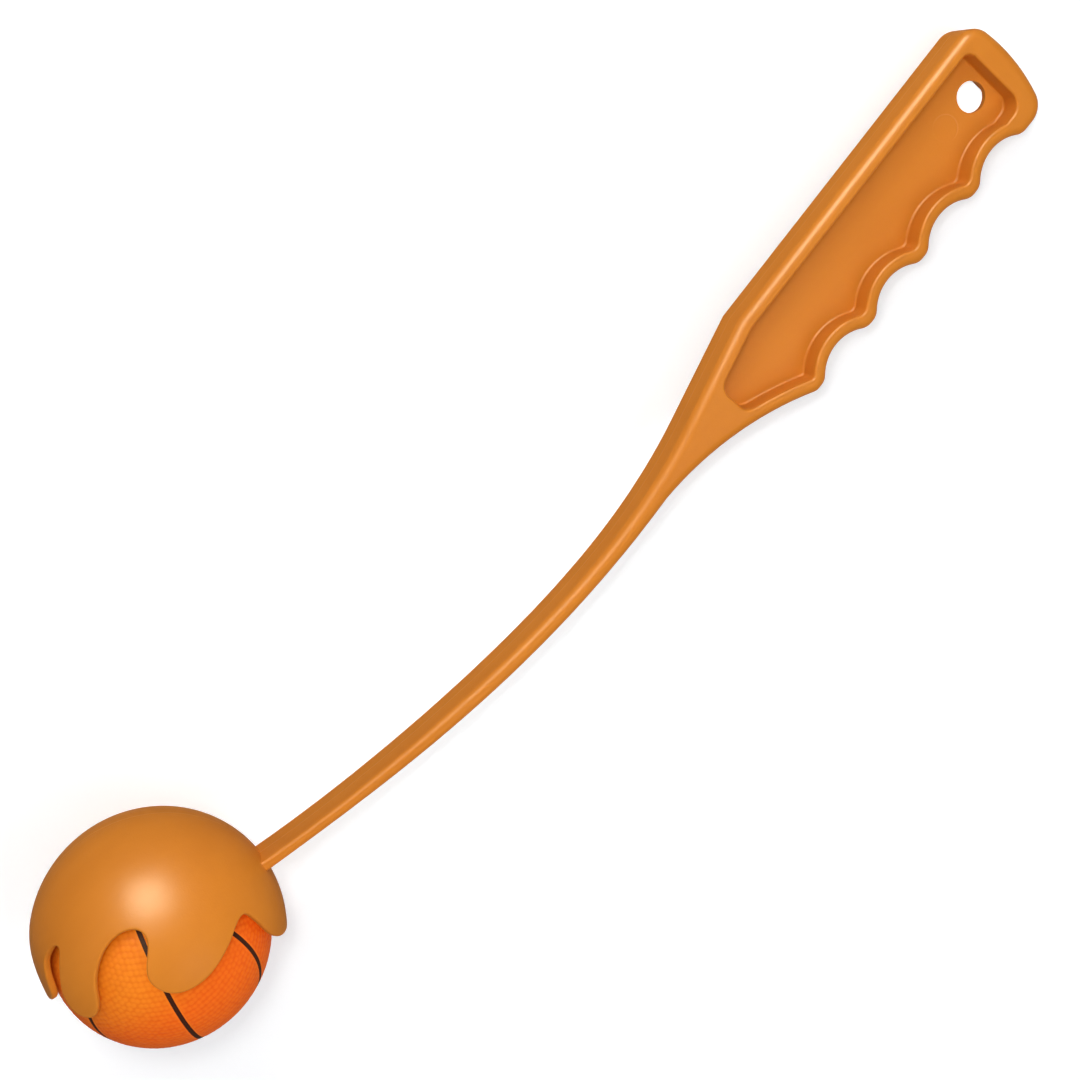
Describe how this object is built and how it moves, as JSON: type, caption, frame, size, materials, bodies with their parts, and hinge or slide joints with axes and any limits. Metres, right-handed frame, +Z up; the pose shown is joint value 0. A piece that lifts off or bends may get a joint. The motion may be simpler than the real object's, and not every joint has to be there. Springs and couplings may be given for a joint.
{
  "type": "dog ball thrower",
  "caption": "Hand-held ball thrower for dogs: finger-grooved grip, bent moulded arm and an open fingered cup that holds a hollow rubber ball.",
  "frame": {"origin": "middle of the thrower's outline on the surface that it lies on", "axes": "+X along the thrower from the cup to the grip's end, +Y towards the back of the arm, +Z up from the surface that it lies on"},
  "size_m": [0.384, 0.0678, 0.0722],
  "materials": {
    "moulded_body": "satin amber-orange moulded plastic",
    "ball_rubber": "pebbled orange rubber",
    "seam_rubber": "dark matt seam lines"
  },
  "bodies": {
    "thrower": {"grip": "moulded_body", "arm": "moulded_body", "cup": "moulded_body"},
    "ball": {"ball": "ball_rubber", "ball_seams": "seam_rubber"}
  },
  "joints": [
    {"name": "ball_release", "type": "slide", "parent": "thrower", "child": "ball", "axis": [-0.468, -0.8829, 0.0372], "range_m": [0, 0.08]}
  ]
}
